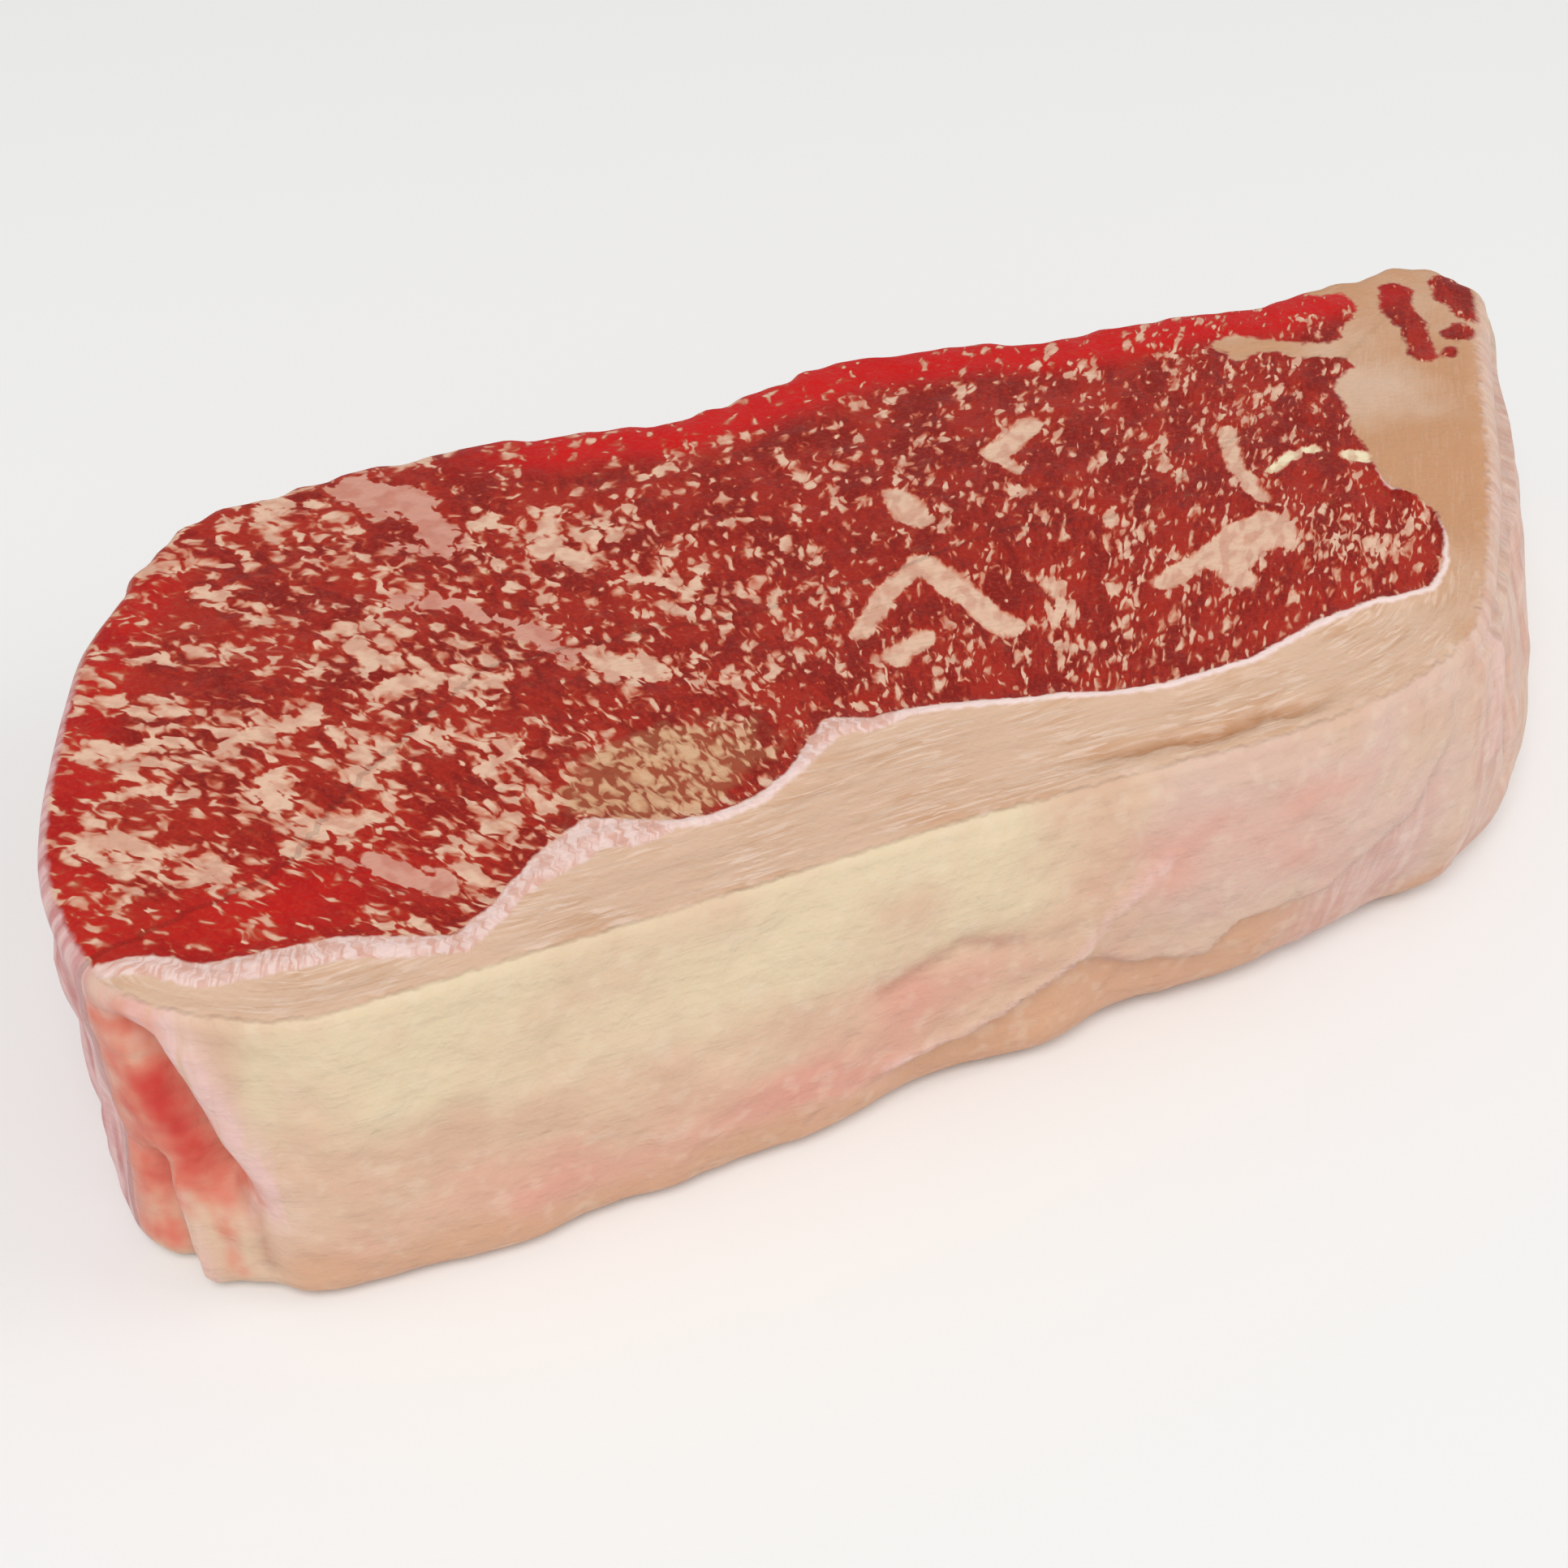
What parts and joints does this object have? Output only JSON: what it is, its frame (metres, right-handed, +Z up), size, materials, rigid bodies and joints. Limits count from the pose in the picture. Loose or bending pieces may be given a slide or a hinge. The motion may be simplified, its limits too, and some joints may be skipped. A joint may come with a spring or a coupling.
{
  "type": "raw sirloin steak",
  "caption": "Thick raw marbled sirloin steak with two flat cut faces and a fat cap along one long side, lying flat.",
  "frame": {"origin": "middle of the box round the steak, on the plane of its lower cut face", "axes": "+X along the steak towards its narrower tail end, +Y from the fat cap's long side towards the trimmed back, +Z up"},
  "size_m": [0.2022, 0.0966, 0.0376],
  "materials": {
    "raw_beef": "moist raw beef: brown-red lean with cream marbling, yellowish white fat cap, pinkish membrane at the ends"
  },
  "bodies": {
    "root": {"steak": "raw_beef"}
  },
  "joints": []
}
